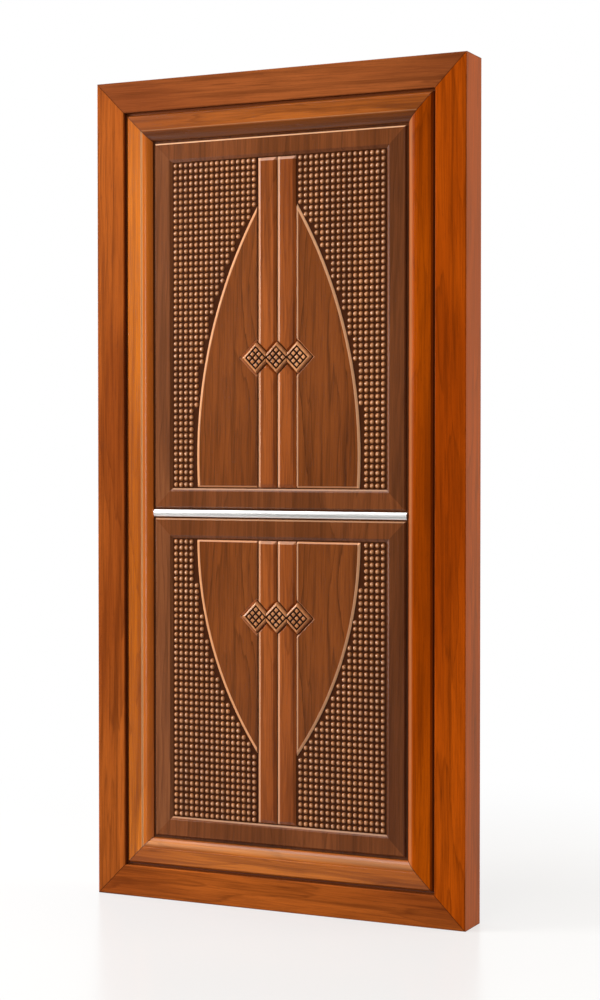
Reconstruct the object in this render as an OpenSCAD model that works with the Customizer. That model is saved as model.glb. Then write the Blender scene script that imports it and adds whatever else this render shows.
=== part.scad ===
// Entrance door with a carved bead lattice: a mitred frame and a leaf that opens away from the front.
// The front faces -Y, +X is to the right seen from the front, and Z = 0 is the underside of the sill.

/* [Overall size] */
// Height of the frame, sill to head
frame_h = 2100; // [1950:5:2400]
// Width of the frame across both jambs
frame_w = 1020; // [960:5:1250]
// Depth of the outer frame, front to back
frame_d = 100; // [90:1:140]

/* [Outer frame] */
// Width of the outer frame's front face
face_w = 80; // [60:1:95]
// Rounding of the outer frame's front edges
face_round = 3; // [1:0.5:6]
// Diameter of the holes for the wall screws
fixing_d = 9; // [6:0.5:12]
// Height of the lowest wall screw, and distance of the highest one from the top
fixing_inset = 250; // [150:10:400]
// Distance of the wall screws from the back of the frame
fixing_back = 19; // [12:1:22]
// Wood left between the end of a wall screw's hole and the jamb's outer side
fixing_cover = 6; // [4:1:15]

/* [Stop moulding] */
// Width of the groove between the outer frame and the moulding
groove_w = 7; // [4:0.5:12]
// Depth of that groove behind the frame's front
groove_depth = 14; // [10:0.5:18]
// Width of the bevel on the moulding's outer edge
stop_bevel_w = 5; // [3:0.5:8]
// Depth of the bevel on the moulding's outer edge
stop_bevel_d = 5; // [2:0.5:6]
// Width of the moulding's flat band
stop_flat_w = 37; // [25:1:45]
// How far the flat band lies behind the frame's front
stop_set_back = 3; // [1:0.5:5]
// Step between the flat band and the rounded edge
quirk = 1.5; // [0.5:0.5:3]
// Width of the rounded edge
ovolo_w = 26; // [18:1:32]
// Fall of the rounded edge towards the leaf
ovolo_drop = 14; // [6:0.5:15]
// Height of the square lip behind the rounded edge
lip_h = 2.5; // [2:0.5:10]
// How far the stop overlaps the leaf's edge
stop_lap = 14; // [9:1:18]

/* [Leaf] */
// Gap between the leaf and the frame, all round
leaf_gap = 3; // [2:0.5:5]
// Gap between the closed leaf and the stop
stop_gap = 1; // [0.5:0.5:2]
// Thickness of the leaf without its relief
leaf_t = 40; // [36:1:48]
// Thickness of the front skin and of the back skin
skin_t = 4; // [3:0.5:6]
// Width of the stiles inside the leaf
stile_w = 90; // [60:5:120]
// Height of the top and bottom rails inside the leaf
rail_h = 110; // [80:5:150]
// Height of the middle rail inside the leaf
middle_rail_h = 140; // [100:5:180]

/* [Hinges] */
// Height of a hinge
hinge_h = 100; // [80:5:150]
// Width of a hinge plate in its mortise
hinge_plate_w = 26; // [20:1:30]
// Thickness of a hinge plate
hinge_plate_t = 2.5; // [2:0.5:4]
// Diameter of the knuckles
knuckle_d = 13; // [11:0.5:16]
// Diameter of the hinge pin
pin_d = 6; // [4:0.5:7]
// Diameter of the pin's head
pin_head_d = 11; // [9:0.5:14]
// Height of the pin's head
pin_head_h = 4; // [2:0.5:6]
// Distance from the leaf's end to the middle of the nearest hinge
hinge_inset = 220; // [150:10:350]
// Shank diameter of the hinge screws
screw_d = 4; // [3:0.5:5]
// Length of the hinge screws
screw_l = 26; // [18:1:35]

/* [Raised border] */
// Height of the middle of the metal strip above the sill's underside
strip_z = 993; // [850:1:1150]
// Height of the strip's channel between the two raised borders
channel_h = 26; // [22:1:40]
// Height of the metal strip's section
metal_strip_w = 18; // [12:1:20]
// Thickness of the metal strip over its rounded middle
metal_strip_t = 9; // [6:0.5:11]
// Thickness of the metal strip at its edges
metal_strip_edge = 5; // [3:0.5:5.5]
// Thickness of the raised border
border_t = 7; // [6:0.5:9]
// Gap between the raised border and the stop moulding
border_gap = 7; // [5:0.5:12]
// Width of the border, without the bevel that falls into the field
border_w = 43.5; // [30:0.5:60]
// Width of the bevel that falls into the field
field_bevel = 7.5; // [4:0.5:12]
// Chamfer along the border's outer edge
border_chamfer = 3.5; // [1:0.5:4]

/* [Bead lattice] */
// Thickness of the bead board under the beads
board_t = 2.5; // [2:0.5:3.5]
// Diameter of a bead
bead_d = 12.4; // [8:0.2:12.6]
// Height of a bead
bead_h = 4; // [2:0.5:4.5]
// Largest distance between columns of beads
bead_pitch_x = 15; // [13:0.1:18]
// Largest distance between rows of beads
bead_pitch_z = 15.9; // [13:0.1:18]
// Distance of the outer beads' centres from the edge of their board
bead_margin = 9; // [7:0.5:12]
// Smallest gap between a bead and the arch
bead_clear = 1; // [0.5:0.5:4]

/* [Arch and strips] */
// Thickness of the arch panels
arch_t = 6.5; // [5:0.5:8]
// Distance of the arch's widest point from the side of the field
arch_side = 70; // [57:1:117]
// Height of the widest point above the foot of the upper field
arch_belly = 79; // [0:1:150]
// Height above the foot of the upper field at which the arch meets the strips
arch_rise_upper = 707; // [600:1:740]
// Depth below the head of the lower field at which the arch meets the strips
arch_rise_lower = 538; // [450:1:600]
// Width of the bevel along the arch
arch_bevel_w = 5; // [3:0.5:8]
// Depth of the bevel along the arch
arch_bevel_d = 4; // [2:0.5:4.5]
// Width of a centre strip
strip_w = 51; // [40:1:58]
// Gap beside the centre strips and at the ends of the applied pieces
strip_gap = 3; // [2:0.5:5]
// Thickness of the centre strips
strip_t = 7; // [5:0.5:8]
// Width of the bevel on the centre strips
strip_bevel_w = 8; // [4:0.5:12]
// Depth of the bevel on the centre strips
strip_bevel_d = 4.5; // [2:0.5:4.5]

/* [Diamonds] */
// Height of the upper diamonds' middle above the foot of the upper field
diamond_rise = 328; // [200:1:480]
// Depth of the lower diamonds' middle below the head of the lower field
diamond_drop = 194; // [120:1:300]
// Distance between the middles of neighbouring diamonds
diamond_pitch = 57; // [54:1:64]
// Half diagonal of a diamond's base
diamond_base = 39; // [34:0.5:42]
// Half diagonal of a diamond's top
diamond_top = 35; // [30:0.5:36]
// Thickness of a diamond
diamond_t = 10; // [8:0.5:13]
// Depth of a diamond's bevel
diamond_bevel_d = 3; // [2:0.5:4]
// Gap between a diamond and the cut edges around it, at the skin
diamond_gap = 2; // [1:0.5:4]
// How much the cut-out round a diamond widens towards its front, on the half diagonal
cutout_flare = 6; // [3:0.5:8]
// Width of a carved stud on a diamond
stud_w = 9.5; // [6:0.5:9.5]
// Width of the carved grooves between studs
stud_groove_w = 3.5; // [2:0.5:3.5]
// Depth of the carved grooves
stud_groove_d = 3; // [1:0.5:4]

/* [Hidden] */

// Overlap used where two shapes are joined or a cut passes a face
lap = 1;
// Facets of small rounds and of the large arch
round_fn = 64;
arch_fn = 720;

// Depths are counted from the frame's front, towards the back
front_y = -frame_d / 2;
ovolo_depth = stop_set_back + quirk;
stop_depth = ovolo_depth + ovolo_drop + lip_h;
skin_depth = stop_depth + stop_gap;
leaf_back_depth = skin_depth + leaf_t;
skin_y = front_y + skin_depth;
leaf_back_y = front_y + leaf_back_depth;

// The moulding across its width, from the outer frame to the leaf
stop_w = groove_w + stop_bevel_w + stop_flat_w + ovolo_w;
stop_wall = stop_w - stop_lap;
stop_outer_w = frame_w - 2 * face_w;
stop_outer_h = frame_h - 2 * face_w;
ovolo_r = (ovolo_w * ovolo_w + ovolo_drop * ovolo_drop) / (2 * ovolo_drop);

// The leaf inside the rebate
leaf_inset = face_w + stop_wall + leaf_gap;
leaf_w = frame_w - 2 * leaf_inset;
leaf_h = frame_h - 2 * leaf_inset;
frame_y = skin_y + skin_t;
frame_t = leaf_t - 2 * skin_t;
middle_rail_z = strip_z - middle_rail_h / 2;

// The raised borders: lower left corner height and size of each
border_inset = face_w + stop_w + border_gap;
panel_w = frame_w - 2 * border_inset;
lower_z = border_inset;
lower_h = strip_z - channel_h / 2 - lower_z;
upper_z = strip_z + channel_h / 2;
upper_h = frame_h - border_inset - upper_z;

// The fields inside the borders, at the bead board
field_edge = border_w + field_bevel;
field_half_w = panel_w / 2 - field_edge;
arch_half_w = field_half_w - arch_side;
arch_inner = strip_gap / 2 + strip_w + strip_gap;
// Clearance between the bead board and the arch
arch_fit = 0.3;
// A bead's shoulder and crown, as shares of its radius and height
bead_shoulder_r = 0.8;
bead_shoulder_h = 0.62;
bead_crown_r = 0.38;
// Carved studs along one side of a diamond
stud_count = 3;

// A panel: foot and head of its field, middle of its arch, its radius, height of its diamonds, arch's foot
function arch_radius(rise) =
    (rise * rise + pow(arch_half_w - arch_inner, 2)) / (2 * (arch_half_w - arch_inner));
upper_foot = upper_z + field_edge;
upper_head = upper_z + upper_h - field_edge;
lower_foot = lower_z + field_edge;
lower_head = lower_z + lower_h - field_edge;
upper_r = arch_radius(arch_rise_upper - arch_belly);
lower_r = arch_radius(arch_rise_lower);
upper_arch_z = upper_foot + arch_belly;
lower_arch_z = lower_head;
upper_diamond_z = upper_foot + diamond_rise;
lower_diamond_z = lower_head - diamond_drop;

// The cut-out round a diamond, as half diagonals at the skin and at the height of the strips
cutout_base = diamond_base + diamond_gap * sqrt(2);
cutout_slope = cutout_flare / strip_t;

// The hinges: axis, knuckles and clearances
knuckle_clear = 0.5;
knuckle_gap = 0.3;
pin_clear = 0.05;
screw_clear = 0.1;
knuckle_count = 5;
hinge_x = -leaf_w / 2 - leaf_gap / 2;
hinge_y = leaf_back_y + knuckle_clear + knuckle_d / 2;
hinge_count = 3;
hinge_step = (leaf_h - 2 * hinge_inset) / (hinge_count - 1);
function hinge_z(i) = leaf_inset + hinge_inset + i * hinge_step;
screw_head_d = 2 * screw_d;
screw_head_h = screw_d / 2;
// Heights of the screws in a plate, as shares of the hinge's height from its middle
screw_rows = [-0.38, -0.14, 0.14, 0.38];
screw_zigzag = hinge_plate_w / 5;

// The wall screws, evenly spaced up each jamb
fixing_count = 4;
fixing_step = (frame_h - 2 * fixing_inset) / (fixing_count - 1);

outer_colour = "#a0541f";
stop_colour = "#b8691c";
inner_colour = "#b58a5a";
border_colour = "#74472c";
bead_colour = "#7a4726";
arch_colour = "#7d4626";
strip_colour = "#8c4b28";
diamond_colour = "#96592f";
metal_colour = "#d8d8da";
hinge_colour = "#9a9a98";

// Places a piece on one side of a rectangle that stands on Z = 0 and is centred on X
module on_side(side, w, h) {
    if (side == "left") translate([-w / 2, 0, 0]) children();
    if (side == "right") mirror([1, 0, 0]) translate([-w / 2, 0, 0]) children();
    if (side == "top") translate([-w / 2, 0, h]) rotate([0, 90, 0]) children();
    if (side == "bottom") translate([-w / 2, 0, 0]) mirror([0, 0, 1]) rotate([0, 90, 0]) children();
}

// A bar along Z with 45 degree ends: its child is the section, across in X and in depth in Y
module mitred_bar(length, across, depth_from, depth_to) {
    intersection() {
        linear_extrude(length) children();
        translate([0, depth_to + lap, 0]) rotate([90, 0, 0])
            linear_extrude(depth_to - depth_from + 2 * lap)
                polygon([[0, 0], [across, across], [across, length - across], [0, length]]);
    }
}

// Turns a drawing in X and height, raised towards +Z, onto the leaf's front skin
module on_skin() {
    translate([0, skin_y, 0]) rotate([90, 0, 0]) children();
}

// A prism along X on the skin, whose section has height up the door first and thickness second
module bar_across(x_from, x_to) {
    translate([x_from, 0, 0]) rotate([90, 0, 90]) linear_extrude(x_to - x_from) children();
}

// A prism up the door on the skin, whose section has X first and thickness second
module bar_upright(z_from, z_to) {
    translate([0, z_to, 0]) rotate([90, 0, 0]) linear_extrude(z_to - z_from) children();
}

// A square set on its corner: its child is the section across one pair of sides
module diamond_prism(half_diagonal) {
    side = half_diagonal * sqrt(2);
    rotate([0, 0, 45]) intersection() {
        bar_upright(-side, side) children();
        rotate([0, 0, 90]) bar_upright(-side, side) children();
    }
}

// Mirrors a piece drawn on the right half onto the left half when asked
module on_half(side) {
    if (side == "left") mirror([1, 0, 0]) children();
    else children();
}

module round_off(r) {
    difference() {
        translate([-lap, -lap]) square(r + lap);
        translate([r, r]) circle(r, $fn = round_fn);
    }
}

module outer_section() {
    difference() {
        square([face_w, frame_d]);
        round_off(face_round);
        translate([face_w, 0]) mirror([1, 0]) round_off(face_round);
    }
}

module outer_member(side, length) {
    color(outer_colour) translate([0, front_y, 0]) on_side(side, frame_w, frame_h)
        mitred_bar(length, face_w, 0, frame_d) outer_section();
}

// Holes for the wall screws, drilled from the reveal and stopped short of the jamb's outer side
module fixing_holes() {
    for (i = [0 : fixing_count - 1])
        translate([-frame_w / 2 + fixing_cover, frame_d / 2 - fixing_back, fixing_inset + i * fixing_step])
            rotate([0, 90, 0]) cylinder(d = fixing_d, h = face_w - fixing_cover + lap, $fn = round_fn);
}

module outer_left_jamb() {
    color(outer_colour) difference() {
        outer_member("left", frame_h);
        fixing_holes();
    }
}

module outer_right_jamb() {
    color(outer_colour) mirror([1, 0, 0]) outer_left_jamb();
}

module stop_section() {
    flat_end = groove_w + stop_bevel_w + stop_flat_w;
    polygon([
        [0, groove_depth], [groove_w, groove_depth], [groove_w, stop_set_back + stop_bevel_d],
        [groove_w + stop_bevel_w, stop_set_back], [flat_end, stop_set_back], [flat_end, stop_depth],
        [0, stop_depth]
    ]);
    intersection() {
        translate([flat_end, ovolo_depth + ovolo_r]) circle(ovolo_r, $fn = 2 * round_fn);
        translate([flat_end - lap, stop_set_back]) square([ovolo_w + lap, stop_depth - stop_set_back]);
    }
    translate([0, stop_depth - lap]) square([stop_wall, leaf_back_depth - stop_depth + lap]);
}

module stop_member(side, length) {
    color(stop_colour) translate([0, front_y, face_w]) on_side(side, stop_outer_w, stop_outer_h)
        mitred_bar(length, stop_w, 0, leaf_back_depth) stop_section();
}

module stop_moulding_left() {
    color(stop_colour) difference() {
        stop_member("left", stop_outer_h);
        for (i = [0 : hinge_count - 1]) at_hinge(i) mirror([1, 0, 0]) hinge_mortise();
    }
}

// Runs its children at the middle of a hinge, on the hinge's axis
module at_hinge(i) {
    translate([hinge_x, hinge_y, hinge_z(i)]) children();
}

// Runs its children at each screw of a hinge plate on the +X side, with +Z out of the plate's face
module at_screws() {
    for (i = [0 : len(screw_rows) - 1])
        translate([
            leaf_gap / 2,
            leaf_back_y - hinge_y - hinge_plate_w / 2 + (i % 2 == 0 ? screw_zigzag : -screw_zigzag),
            screw_rows[i] * hinge_h
        ]) rotate([0, -90, 0]) children();
}

// The pocket for a hinge plate in the wood on the +X side, with its pilot holes
module hinge_mortise() {
    translate([leaf_gap / 2 - lap, leaf_back_y - hinge_y - hinge_plate_w, -hinge_h / 2])
        cube([hinge_plate_t + lap, hinge_plate_w + lap, hinge_h]);
    at_screws() translate([0, 0, -screw_l - screw_clear])
        cylinder(d = screw_d + 2 * screw_clear, h = screw_l, $fn = round_fn);
}

// A countersunk hinge screw, head flush at Z = 0, grown by the clearance where it is a hole
module hinge_screw(grow) {
    r = screw_d / 2 + grow;
    head_r = screw_head_d / 2 + grow;
    rotate_extrude($fn = round_fn)
        polygon([[0, 0], [head_r, 0], [r, -screw_head_h], [r, r - screw_l], [0, -screw_l - grow]]);
}

// One hinge plate on the +X side of the axis with its own knuckles, first of each pair or second
module hinge_plate(first) {
    knuckle_h = hinge_h / knuckle_count;
    color(hinge_colour) difference() {
        union() {
            translate([leaf_gap / 2, leaf_back_y - hinge_y - hinge_plate_w, -hinge_h / 2])
                cube([hinge_plate_t, hinge_plate_w, hinge_h]);
            for (k = [first : 2 : knuckle_count - 1])
                translate([0, 0, -hinge_h / 2 + k * knuckle_h + knuckle_gap / 2]) {
                    cylinder(d = knuckle_d, h = knuckle_h - knuckle_gap, $fn = round_fn);
                    translate([leaf_gap / 2, leaf_back_y - hinge_y - lap, 0])
                        cube([hinge_plate_t, hinge_y - leaf_back_y + lap, knuckle_h - knuckle_gap]);
                }
        }
        translate([0, 0, -hinge_h / 2 - lap])
            cylinder(d = pin_d + 2 * pin_clear, h = hinge_h + 2 * lap, $fn = round_fn);
        at_screws() hinge_screw(screw_clear);
    }
}

module hinge_frame_plate(i) {
    at_hinge(i) mirror([1, 0, 0]) hinge_plate(0);
}

module hinge_leaf_plate(i) {
    at_hinge(i) hinge_plate(1);
}

// A pin with a domed head that rests on the top knuckle
module hinge_pin(i) {
    top = hinge_h / 2 - knuckle_gap / 2;
    color(hinge_colour) at_hinge(i) rotate_extrude($fn = round_fn)
        polygon([
            [0, -hinge_h / 2], [pin_d / 2, -hinge_h / 2], [pin_d / 2, top], [pin_head_d / 2, top],
            [pin_head_d / 2, top + pin_head_h / 2], [pin_head_d / 4, top + pin_head_h], [0, top + pin_head_h]
        ]);
}

module frame_hinge_screws() {
    color(hinge_colour) for (i = [0 : hinge_count - 1])
        at_hinge(i) mirror([1, 0, 0]) at_screws() hinge_screw(0);
}

module leaf_hinge_screws() {
    color(hinge_colour) for (i = [0 : hinge_count - 1]) at_hinge(i) at_screws() hinge_screw(0);
}

module leaf_hinge_stile() {
    color(inner_colour) difference() {
        translate([-leaf_w / 2, frame_y, leaf_inset]) cube([stile_w, frame_t, leaf_h]);
        for (i = [0 : hinge_count - 1]) at_hinge(i) hinge_mortise();
    }
}

module leaf_lock_stile() {
    color(inner_colour) translate([leaf_w / 2 - stile_w, frame_y, leaf_inset])
        cube([stile_w, frame_t, leaf_h]);
}

// A board between the stiles, from one height to another
module between_stiles(z_from, z_to) {
    color(inner_colour) translate([-leaf_w / 2 + stile_w, frame_y, z_from])
        cube([leaf_w - 2 * stile_w, frame_t, z_to - z_from]);
}

module leaf_top_rail() {
    between_stiles(leaf_inset + leaf_h - rail_h, leaf_inset + leaf_h);
}

module leaf_middle_rail() {
    between_stiles(middle_rail_z, middle_rail_z + middle_rail_h);
}

module leaf_bottom_rail() {
    between_stiles(leaf_inset, leaf_inset + rail_h);
}

module upper_core() {
    between_stiles(middle_rail_z + middle_rail_h, leaf_inset + leaf_h - rail_h);
}

module lower_core() {
    between_stiles(leaf_inset + rail_h, middle_rail_z);
}

module front_skin() {
    color(border_colour) translate([-leaf_w / 2, skin_y, leaf_inset]) cube([leaf_w, skin_t, leaf_h]);
}

module back_skin() {
    color(border_colour) difference() {
        translate([-leaf_w / 2, leaf_back_y - skin_t, leaf_inset]) cube([leaf_w, skin_t, leaf_h]);
        for (i = [0 : hinge_count - 1]) at_hinge(i) hinge_mortise();
    }
}

// One mitred side of a raised border, bevelled into the field
module border_piece(foot, height, side) {
    color(border_colour) translate([0, skin_y, foot]) on_side(side, panel_w, height)
        mitred_bar(side == "left" || side == "right" ? height : panel_w, field_edge, -border_t, 0)
            polygon([
                [0, 0], [0, border_chamfer - border_t], [border_chamfer, -border_t], [border_w, -border_t],
                [field_edge, -board_t], [field_edge, 0]
            ]);
}

// A bead: a low dome of two tapers and a flat crown
module bead() {
    r = bead_d / 2;
    rotate_extrude($fn = round_fn / 4)
        polygon([
            [0, 0], [r, 0], [bead_shoulder_r * r, bead_shoulder_h * bead_h], [bead_crown_r * r, bead_h],
            [0, bead_h]
        ]);
}

// Evenly spaced places between two limits, no further apart than the pitch
function spread(from, to, pitch) =
    let (steps = ceil((to - from) / pitch)) [for (i = [0 : steps]) from + i * (to - from) / steps];

// The carved board beside the arch, with its beads in rows and columns
module bead_lattice(side, foot, head, arch_z, r) {
    arch_x = arch_half_w - r;
    edge_r = r + arch_fit;
    columns = spread(arch_inner + bead_margin, field_half_w - bead_margin, bead_pitch_x);
    rows = spread(foot + bead_margin, head - bead_margin, bead_pitch_z);
    color(bead_colour) on_half(side) on_skin() {
        difference() {
            translate([arch_inner, foot, 0]) cube([field_half_w - arch_inner, head - foot, board_t]);
            translate([arch_x, arch_z, -lap]) cylinder(r = edge_r, h = board_t + 2 * lap, $fn = arch_fn);
        }
        for (x = columns, z = rows)
            if (norm([x - arch_x, z - arch_z]) > edge_r + bead_d / 2 + bead_clear)
                translate([x, z, board_t]) bead();
    }
}

// The cut-out round one diamond, widening towards the front
module diamond_cutout(t) {
    base = (cutout_base - cutout_slope * lap) / sqrt(2);
    top = (cutout_base + cutout_slope * (t + lap)) / sqrt(2);
    diamond_prism(cutout_base + cutout_flare + diamond_pitch)
        polygon([[-base, -lap], [base, -lap], [top, t + lap], [-top, t + lap]]);
}

// Half of an arch: a bevelled disc cut by the strip, with a bevelled foot at the field's edge
module arch_panel(side, foot_z, tip_z, arch_z, r, diamond_z) {
    up = tip_z > foot_z ? 1 : -1;
    color(arch_colour) on_half(side) on_skin() difference() {
        intersection() {
            bar_across(arch_inner, arch_half_w + lap)
                polygon([
                    [foot_z, 0], [foot_z, arch_t - arch_bevel_d], [foot_z + up * arch_bevel_w, arch_t],
                    [tip_z + up * lap, arch_t], [tip_z + up * lap, 0]
                ]);
            translate([arch_half_w - r, arch_z, 0]) rotate_extrude($fn = arch_fn)
                polygon([
                    [0, 0], [r, 0], [r, arch_t - arch_bevel_d], [r - arch_bevel_w, arch_t], [0, arch_t]
                ]);
        }
        translate([diamond_pitch, diamond_z, 0]) diamond_cutout(arch_t);
    }
}

// One length of a centre strip, from the diamonds to the end of the field
module centre_strip(side, end_z, diamond_z) {
    up = end_z > diamond_z ? 1 : -1;
    x_from = strip_gap / 2;
    x_to = x_from + strip_w;
    color(strip_colour) on_half(side) on_skin() difference() {
        intersection() {
            bar_upright(min(end_z, diamond_z), max(end_z, diamond_z))
                polygon([
                    [x_from, 0], [x_to, 0], [x_to, strip_t - strip_bevel_d], [x_to - strip_bevel_w, strip_t],
                    [x_from + strip_bevel_w, strip_t], [x_from, strip_t - strip_bevel_d]
                ]);
            bar_across(x_from - lap, x_to + lap)
                polygon([
                    [end_z, 0], [end_z, strip_t - strip_bevel_d], [end_z - up * strip_bevel_w, strip_t],
                    [diamond_z - up * lap, strip_t], [diamond_z - up * lap, 0]
                ]);
        }
        for (i = [0, 1]) translate([i * diamond_pitch, diamond_z, 0]) diamond_cutout(strip_t);
    }
}

// A bevelled diamond with carved studs, its side tips cut where it meets its neighbours
module diamond(place, diamond_z) {
    base = diamond_base / sqrt(2);
    top = diamond_top / sqrt(2);
    shoulder = diamond_t - diamond_bevel_d;
    cut_left = place == -1 ? diamond_base + lap : (diamond_pitch - strip_gap / 2) / 2;
    cut_right = place == 1 ? diamond_base + lap : (diamond_pitch - strip_gap / 2) / 2;
    step = stud_w + stud_groove_w;
    groove_l = stud_count * step + stud_groove_w;
    color(diamond_colour) on_skin() translate([place * diamond_pitch, diamond_z, 0]) difference() {
        intersection() {
            diamond_prism(diamond_base)
                polygon([
                    [-base, 0], [base, 0], [base, shoulder], [top, diamond_t], [-top, diamond_t],
                    [-base, shoulder]
                ]);
            translate([-cut_left, -diamond_base - lap, -lap])
                cube([cut_left + cut_right, 2 * (diamond_base + lap), diamond_t + 2 * lap]);
        }
        for (turn = [45, 135], i = [0 : stud_count])
            rotate([0, 0, turn])
                translate([i * step - groove_l / 2, -groove_l / 2, diamond_t - stud_groove_d])
                    cube([stud_groove_w, groove_l, stud_groove_d + lap]);
    }
}

// The half round metal strip across the leaf
module metal_strip() {
    crown = metal_strip_t - metal_strip_edge;
    crown_r = (metal_strip_w * metal_strip_w / 4 + crown * crown) / (2 * crown);
    half_l = panel_w / 2 + border_gap / 2;
    color(metal_colour) on_skin() bar_across(-half_l, half_l) intersection() {
        translate([strip_z, metal_strip_t - crown_r]) circle(crown_r, $fn = 2 * round_fn);
        translate([strip_z - metal_strip_w / 2, 0]) square([metal_strip_w, metal_strip_t + lap]);
    }
}

outer_left_jamb();
outer_right_jamb();
outer_member("top", frame_w);  // outer_head
outer_member("bottom", frame_w);  // outer_sill
stop_moulding_left();
stop_member("right", stop_outer_h);  // stop_moulding_right
stop_member("top", stop_outer_w);  // stop_moulding_top
stop_member("bottom", stop_outer_w);  // stop_moulding_bottom
hinge_frame_plate(0);  // hinge_frame_plate_bottom
hinge_frame_plate(1);  // hinge_frame_plate_middle
hinge_frame_plate(2);  // hinge_frame_plate_top
hinge_pin(0);  // hinge_pin_bottom
hinge_pin(1);  // hinge_pin_middle
hinge_pin(2);  // hinge_pin_top
frame_hinge_screws();
leaf_hinge_stile();
leaf_lock_stile();
leaf_top_rail();
leaf_middle_rail();
leaf_bottom_rail();
upper_core();
lower_core();
front_skin();
back_skin();
for (side = ["left", "right", "top", "bottom"]) {
    border_piece(upper_z, upper_h, side);
    border_piece(lower_z, lower_h, side);
}
for (side = ["left", "right"]) {
    bead_lattice(side, upper_foot, upper_head, upper_arch_z, upper_r);
    bead_lattice(side, lower_foot, lower_head, lower_arch_z, lower_r);
    arch_panel(side, upper_foot + strip_gap, upper_head, upper_arch_z, upper_r, upper_diamond_z);
    arch_panel(side, lower_head - strip_gap, lower_foot, lower_arch_z, lower_r, lower_diamond_z);
    centre_strip(side, upper_head - strip_gap, upper_diamond_z);
    centre_strip(side, upper_foot + strip_gap, upper_diamond_z);
    centre_strip(side, lower_head - strip_gap, lower_diamond_z);
    centre_strip(side, lower_foot + strip_gap, lower_diamond_z);
}
diamond(-1, upper_diamond_z);  // upper_diamond_left
diamond(0, upper_diamond_z);  // upper_diamond_middle
diamond(1, upper_diamond_z);  // upper_diamond_right
diamond(-1, lower_diamond_z);  // lower_diamond_left
diamond(0, lower_diamond_z);  // lower_diamond_middle
diamond(1, lower_diamond_z);  // lower_diamond_right
metal_strip();
hinge_leaf_plate(0);  // hinge_leaf_plate_bottom
hinge_leaf_plate(1);  // hinge_leaf_plate_middle
hinge_leaf_plate(2);  // hinge_leaf_plate_top
leaf_hinge_screws();
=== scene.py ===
# %% [markdown]
# # A carved lattice door, dressed for its portrait
#
# The door is a mitred timber frame with a golden stop moulding, and a leaf that carries bead lattices,
# arch panels, centre strips and small carved diamonds. Its construction comes finished from CAD, to size
# and in place. This lesson adds what a joiner does last: eased edges, carving, varnish and metal finish.
# The first cell loads the construction. Its box is kept, because the looks may not outgrow it.

# %% Load the construction
import math
import bmesh
import bpy
from mathutils import Matrix, Vector


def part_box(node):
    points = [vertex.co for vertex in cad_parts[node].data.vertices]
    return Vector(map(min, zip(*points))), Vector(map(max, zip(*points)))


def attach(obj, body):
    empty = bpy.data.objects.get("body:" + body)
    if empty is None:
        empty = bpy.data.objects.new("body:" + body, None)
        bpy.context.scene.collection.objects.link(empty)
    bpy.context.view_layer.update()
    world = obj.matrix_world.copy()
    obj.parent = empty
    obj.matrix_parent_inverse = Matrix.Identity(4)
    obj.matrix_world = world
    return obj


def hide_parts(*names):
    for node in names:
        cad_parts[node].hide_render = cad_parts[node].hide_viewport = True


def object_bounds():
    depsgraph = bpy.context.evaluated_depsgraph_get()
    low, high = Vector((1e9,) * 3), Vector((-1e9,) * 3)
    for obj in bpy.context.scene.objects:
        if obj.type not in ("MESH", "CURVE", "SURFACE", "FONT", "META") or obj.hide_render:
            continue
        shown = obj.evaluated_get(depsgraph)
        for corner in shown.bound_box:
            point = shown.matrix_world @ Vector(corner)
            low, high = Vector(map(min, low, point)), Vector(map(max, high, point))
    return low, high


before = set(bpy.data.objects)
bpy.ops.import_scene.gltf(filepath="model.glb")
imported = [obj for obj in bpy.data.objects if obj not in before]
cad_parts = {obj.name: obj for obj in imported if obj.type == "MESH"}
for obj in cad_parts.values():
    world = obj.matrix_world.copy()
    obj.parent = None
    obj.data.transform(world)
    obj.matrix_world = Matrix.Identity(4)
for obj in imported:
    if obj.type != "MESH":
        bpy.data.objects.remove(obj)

cad_low, cad_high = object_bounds()
print("construction:", len(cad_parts), "pieces, box", tuple(cad_low), tuple(cad_high))

# %% [markdown]
# ## The camera
#
# The picture was taken from the right of the door, a little over half its height, with a long lens. A long
# lens keeps the uprights nearly parallel. The place and the turn of the camera were found by matching the
# corners of the frame, so they are written here as plain measures.

# %% Camera
CAMERA_PLACE = Vector((2.230, -4.576, 1.145))
CAMERA_TURN = math.radians(25.49)
CAMERA_DIP = math.radians(-1.31)
CAMERA_LENS = 72.94

aim = Vector((
    -math.sin(CAMERA_TURN) * math.cos(CAMERA_DIP),
    math.cos(CAMERA_TURN) * math.cos(CAMERA_DIP),
    math.sin(CAMERA_DIP),
))
camera = bpy.data.objects.new("camera", bpy.data.cameras.new("camera"))
camera.data.lens = CAMERA_LENS
camera.location = CAMERA_PLACE
camera.rotation_euler = aim.to_track_quat("-Z", "Y").to_euler()
bpy.context.collection.objects.link(camera)
bpy.context.scene.camera = camera
bpy.context.scene.view_settings.view_transform = "Standard"
print("camera at", tuple(CAMERA_PLACE))

# %% [markdown]
# ## Wiring shader nodes
#
# Every finish below is a small network of nodes. It could be wired by hand in the shader editor. In a script
# four helpers keep it readable: one adds a node and fills in its settings and sockets, one does a sum on
# values, one does a sum on vectors, and one brings a value from one range to another.

# %% Node helpers
MEASURES = ("DOT_PRODUCT", "LENGTH", "DISTANCE")


def add_node(tree, kind, sockets=None, **settings):
    """Adds a shader node. A socket's value is either a plain value or another node's output."""
    node = tree.nodes.new(kind)
    for name, value in settings.items():
        setattr(node, name, value)
    for name, value in (sockets or {}).items():
        if isinstance(value, bpy.types.NodeSocket):
            tree.links.new(value, node.inputs[name])
        else:
            node.inputs[name].default_value = value
    return node


def sum_of(tree, first, second=0.0, operation="ADD"):
    """One sum on two values or sockets."""
    return add_node(tree, "ShaderNodeMath", {0: first, 1: second}, operation=operation).outputs[0]


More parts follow.
